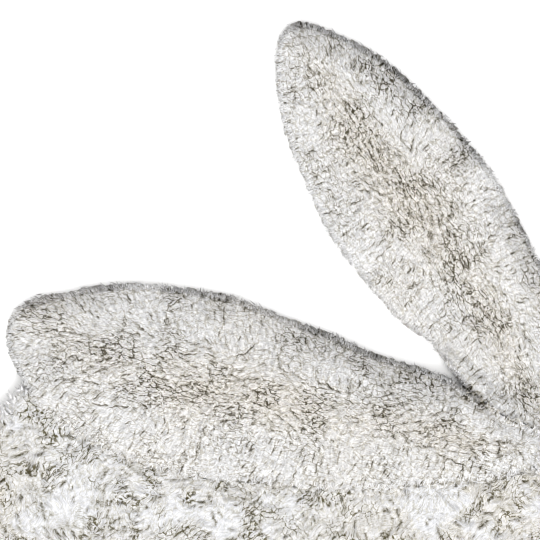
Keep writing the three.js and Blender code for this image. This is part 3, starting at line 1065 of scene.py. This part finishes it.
def ear_pile(ear, outline, rim_grid, under, cover, fall, far_side, painted_shade_width, seed):
    """The dense pile and the loose strands of one ear, which lies on the pieces whose rim maps
    are under, and below the one whose rim map is cover. It hangs over more on its far side, and
    its rim of painted shade, on the side turned from the light, is painted_shade_width wide."""
    rng = np.random.default_rng(seed)
    grid = survey(ear, EAR_SURVEY_STEP)
    axis = np.linalg.eigh(np.cov(outline.T))[1][:, 1]

    def line_way(at):
        """Which way partings and locks run: along the ear, and outwards near its rim."""
        way, _, _, _, near_rim = ear_lean(at, rim_grid, fall, seed + 10)
        long_way = turned(np.tile(axis, (len(at), 1)), 0.7 * drift(at, 0.02, seed + 14))
        long_way *= np.sign((long_way * way).sum(1))[:, None]
        share = smooth(near_rim, 0.6, 0.95)[:, None]
        return unit(long_way * (1 - share) + way * share)

    def line_chance(at):
        """How likely a parting starts at each point."""
        near_rim = ear_lean(at, rim_grid, fall, seed + 10)[4]
        patch = 0.65 + 0.4 * drift(at, 0.02, seed + 3)
        return np.clip(patch * (1 - 0.6 * near_rim), 0.05, 1)

    locks = lock_centres(outline, line_way, EAR_LOCK_WIDTH, EAR_LOCK_STRETCH, seed + 2)
    lines = parting_lines(
        outline, line_way, line_chance, EAR_LINES, EAR_LINE_LENGTH, EAR_LONG_PARTINGS, seed + 4
    )

    def look(at):
        """Lean, distance to the rim, depth in a parting, height over the plain surface, shade,
        warmth and share of fine partings of the pile at each point."""
        way, lean, rim, out, near_rim = ear_lean(at, rim_grid, fall, seed + 10)
        depth, past, near = opened(at, way, lines, EAR_LINE_WIDTH)
        inside = inside_lock(at, *locks, EAR_LOCK_STRETCH)
        along = line_way(at)
        hair = smeared(at, way, *EAR_HAIR, seed + 13)
        cells = np.exp(-((cell_lines(at, along, *EAR_CELLS, seed + 12) / EAR_CELL_LINE) ** 2))
        cells *= smooth(drift(at, 0.006, seed + 15), -1.0, 0.5) * (1 - 0.3 * near_rim)
        # Painted shade: dark scallops along the very rim, where the pile turns down out of the
        # light.
        scallop = smooth(drift(at, 0.0028, seed + 16), -0.1, 0.5) * smooth(rim, 0.005, 0.001)
        # Painted shade: on the rim side turned away from the key light, a wide band and a narrower
        # rim are painted darker, greyer and warmer, with dark tufts and a dark crease inside the
        # rim.
        shaded = smooth(out @ np.array(SHADED_SIDE), 0.1, 0.8)
        shaded *= smooth(drift(at, 0.04, seed + 6), -0.9, 0.1)
        if cover is None:
            shaded *= smooth(at[:, 0], SHADE_END + SHADE_FADE, SHADE_END)
        winding = painted_shade_width + 0.0015 * drift(at, 0.005, seed + 25)
        crease = 0.75 * np.exp(-(((rim - winding) / CREASE_WIDTH) ** 2)) * shaded
        crease *= smooth(drift(at, 0.012, seed + 7), -0.1, 0.6)
        painted_shade_rim = smooth(rim, winding + 0.001, winding - 0.001) * shaded
        painted_shade_rim *= 0.6 + 0.4 * smeared(at, way, 0.0018, 0.006, seed + 18)
        painted_shade_band = smooth(rim, 0.03, 0.012) * shaded
        # Painted shade where the laid ear's rim lies over the raised ear, darker and warmer, with
        # dark tufts.
        crossing_shade = np.exp(-(((at - CROSSING_SHADE_PLACE) ** 2).sum(1)) / (2 * CROSSING_SHADE_SIZE**2))
        crossing_shade *= smooth(drift(at, 0.006, seed + 8), -0.8, 0.0) * smooth(rim, 0.012, 0.006)
        tufts = smooth(smeared(at, way, *TUFTS, seed + 21), 0.0, 0.5)
        tufts *= np.maximum(painted_shade_rim, 1.5 * crossing_shade)
        # Depth darkens the colour as well as lowering the surface: the roots' darker colour plus
        # painted shade in partings and cells, and painted shade in the crease, scallops and tufts.
        depth = np.maximum.reduce([0.8 * depth, crease, 0.3 * cells, 0.5 * scallop, 0.85 * tufts])
        height = -EAR_PARTING_DEPTH * depth
        height -= 0.0004 * near * np.exp(-np.maximum(past, 0) / 2) * (past > 0)
        height += 0.00015 * hair
        height -= 0.0003 * np.clip(1 - inside / EAR_LOCK_EDGE, 0, 1)
        shade = 0.98 + 0.02 * drift(at, 0.03, seed + 9) + 0.15 * hair
        shade += 0.04 * drift(at, 0.0009, seed + 17)
        shade *= 1 - RIM_PAINTED_SHADE * np.clip(painted_shade_rim, 0, 1)
        shade *= 1 - CROSSING_SHADE_DARKENING * crossing_shade
        shade *= 1 - BAND_PAINTED_SHADE * painted_shade_band
        warmth = 0.75 - 0.75 * near_rim + 0.45 * drift(at, 0.045, seed + 11)
        warmth += 0.4 * painted_shade_rim + crossing_shade
        parted = 0.62 + 0.3 * smooth(drift(at, 0.02, seed + 19), -0.6, 0.6)
        parted *= 1 - 0.25 * near_rim * (1 - painted_shade_band)
        return way, lean, rim, depth, height, shade, np.clip(warmth, 0, 1), parted

    def over_pile(at):
        """How far each point lies over the pile of a lower piece, from 0 to 1."""
        return np.maximum.reduce([smooth(rim_at(at, lower)[0], *span) for lower, span in under])

    def hang(at):
        """How far the pile hangs past the outline nearest each point."""
        return FAR_HANG * smooth(rim_at(at, rim_grid)[1] @ np.array(far_side), 0.1, 0.8)

    def shown(at):
        """Which points are on the ear, spilled over its outline, and not deep under the other."""
        over = over_pile(at)
        ragged = smooth(drift(at, 0.0028, seed + 20), -0.4, 0.8) * (RAGGED + RAGGED * over)
        kept = rim_at(at, rim_grid)[0] > EAR_INSET - EAR_SPILL * over - hang(at) + ragged
        if cover is not None:
            kept &= rim_at(at, cover)[0] < UNDER_EAR_MARGIN
        return kept

    def level(at, share):
        """Points lifted to a share of the pile's height, which wells up over and beside pile."""
        points = at_height(at, grid, share)
        raised = over_pile(at) * smooth(rim_at(at, rim_grid)[0], 0.02, 0.01)
        points[:, 2] = np.maximum(points[:, 2], share * BODY_WELL_HEIGHT * raised)
        if cover is not None:
            away = -rim_at(at, cover)[0]
            beside = smooth(away, -PRESS_EASE, PRESS_EASE)
            beside *= smooth(away + 0.006 * drift(at, 0.009, seed + 23), 0.045, 0.002)
            beside *= smooth(rim_at(at, rim_grid)[0], 0.001, 0.008)
            points[:, 2] = np.maximum(points[:, 2], share * EAR_WELL_HEIGHT * beside)
        return points

    def relief(at):
        """Points of the dense pile's surface, with their looks and their places in the weave."""
        _, _, _, depth, height, shade, warmth, parted = look(at)
        points = level(at, EAR_MASS_SHARE)
        points[:, 2] += height
        weave = weave_of(at, axis, EAR_WEAVE_STRETCH, EAR_WEAVE_BEND, seed + 22)
        return points, 1 - depth, shade, warmth, parted, weave

    tips = scattered(outline, EAR_STRAND_SPACING, seed)
    rim = rim_at(tips, rim_grid)[0]
    share = np.maximum(EAR_LOOSE_SHARE, smooth(rim, 0.006, 0.002) * (1 - 0.7 * over_pile(tips)))
    loose = rng.uniform(0, 1, len(tips)) < share
    tips = tips[loose & (shown(tips) | (rim < EAR_INSET + 0.001))]
    tips = tips[(look(tips)[3] < 0.5) | (rim_at(tips, rim_grid)[0] < 0.004)]
    way, lean, rim, depth, height, shade, warmth, _ = look(tips)
    count = len(tips)
    spill = rng.uniform(-0.5, 0.8, count) + 2 * smooth(drift(tips, 0.0035, seed + 24), -0.2, 0.6)
    spill += 3 * over_pile(tips) * rng.uniform(0.2, 1, count)
    tips = tips + way * ((spill * 0.001 + hang(tips)) * smooth(rim, 0.005, 0.002))[:, None]
    reach = EAR_REACH * lean * rng.uniform(0.8, 1.2, count)
    reach = np.maximum(reach, EAR_LEAST_REACH - rim)
    roots = tips - turned(way, rng.normal(0, 0.4, count)) * reach[:, None]
    knees = roots + (tips - roots) * 0.4
    root_points = at_height(roots, grid, EAR_ROOT_SHARE)
    knee_points = level(knees, EAR_KNEE_SHARE)
    tip_points = level(tips, EAR_TIP_SHARE)
    tip_points[:, 2] += height + rng.uniform(0.0002, 0.0012, count)
    grown = (
        root_points,
        knee_points,
        tip_points,
        EAR_STRAND_RADIUS * rng.uniform(0.7, 1.2, count),
        # Painted light: loose strands near the rim are lightened to make up for their own shadows.
        shade * (1 + LOOSE_LIGHT * smooth(rim, 0.008, 0.003)) + rng.normal(0, 0.1, count),
        np.clip(warmth + rng.normal(0, 0.08, count), 0, 1),
        0.4 * depth,
    )
    return [
        dense_pile(
            f"{ear}_pile",
            outline.min(0) - EAR_SPILL - FAR_HANG,
            outline.max(0) + EAR_SPILL + FAR_HANG,
            EAR_CELL,
            shown,
            relief,
            grid,
            short_wool,
            ear,
        ),
        loose_pile(f"{ear}_strands", grown, short_wool, ear),
    ]


over_panel = (panel_rim, (0.002, 0.016))
over_raised = (raised_rim, (0.0, 0.008))
for ear, outline, rim_grid, under, cover, rests_on, fall, far_side, painted_shade_width, seed in (
    (
        "raised_ear", raised_outline, raised_rim, [over_panel], laid_rim,
        RAISED_RESTS, (-0.87, -0.5), (-0.3, 0.95), 0.004, 131,
    ),
    (
        "laid_ear", laid_outline, laid_rim, [over_panel, over_raised], None,
        LAID_RESTS, (-0.75, -0.66), (-1, 0), 0.007, 257,
    ),
):
    ear_pieces = ear_pile(
        ear, outline, rim_grid, under, cover, fall, far_side, painted_shade_width, seed
    )
    ear_backing, ear_area = backing(f"{ear}_backing", ear, EAR_OVERHANG)

# Floor, light and camera: a plain white floor in soft light, seen straight from above. The
# camera's frame is 540 units wide, and the laid ear fills the same stretch of it as in the photo.
FRAME_UNITS = 540
UNIT = 0.00085
EAR_LEFT_UNIT = 5.7
EAR_TOP_UNIT = 281.8
CAMERA_HEIGHT = 2.4
SENSOR_WIDTH = 36
PILE_LEVEL = 0.02
FLOOR_HALF = 6
FLOOR_GAP = 0.0005
FLOOR_WHITE = 0.98
FLOOR_ROUGHNESS = 0.8

floor_mesh = bpy.data.meshes.new("floor")
bm = bmesh.new()
bmesh.ops.create_grid(bm, x_segments=1, y_segments=1, size=FLOOR_HALF)
bm.to_mesh(floor_mesh)
bm.free()
floor = new_object("floor", floor_mesh)
floor.location.z = -FLOOR_GAP
floor_paint, tree, shader = new_material("floor paint")
shader.inputs["Base Color"].default_value = (FLOOR_WHITE, FLOOR_WHITE, FLOOR_WHITE, 1)
shader.inputs["Roughness"].default_value = FLOOR_ROUGHNESS
floor.data.materials.append(floor_paint)

world = bpy.data.worlds.new("studio")
world.use_nodes = True
world.node_tree.nodes["Background"].inputs["Color"].default_value = (1, 1, 1, 1)
world.node_tree.nodes["Background"].inputs["Strength"].default_value = 1.0
bpy.context.scene.world = world

for label, place_at, size, watts in (
    ("key light", (-0.3, -2.0, 2.3), 1.6, 52),
    ("top light", (0.3, 0.1, 3.0), 2.5, 36),
):
    lamp = bpy.data.lights.new(label, "AREA")
    lamp.shape = "SQUARE"
    lamp.size = size
    lamp.energy = watts
    lamp_object = new_object(label, lamp)
    lamp_object.location = place_at
    lamp_object.rotation_euler = (-Vector(place_at)).to_track_quat("-Z", "Y").to_euler()

laid_low, laid_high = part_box("laid_ear")
centre_x = laid_low.x + (FRAME_UNITS / 2 - EAR_LEFT_UNIT) * UNIT
centre_y = laid_high.y - (FRAME_UNITS / 2 - EAR_TOP_UNIT) * UNIT
lens = bpy.data.cameras.new("camera")
lens.sensor_width = SENSOR_WIDTH
lens.lens = SENSOR_WIDTH * (CAMERA_HEIGHT - PILE_LEVEL) / (FRAME_UNITS * UNIT)
camera = new_object("camera", lens)
camera.location = (centre_x, centre_y, CAMERA_HEIGHT)
bpy.context.scene.camera = camera
bpy.context.scene.view_settings.view_transform = "Standard"
bpy.context.scene.cycles.filter_width = 1.0
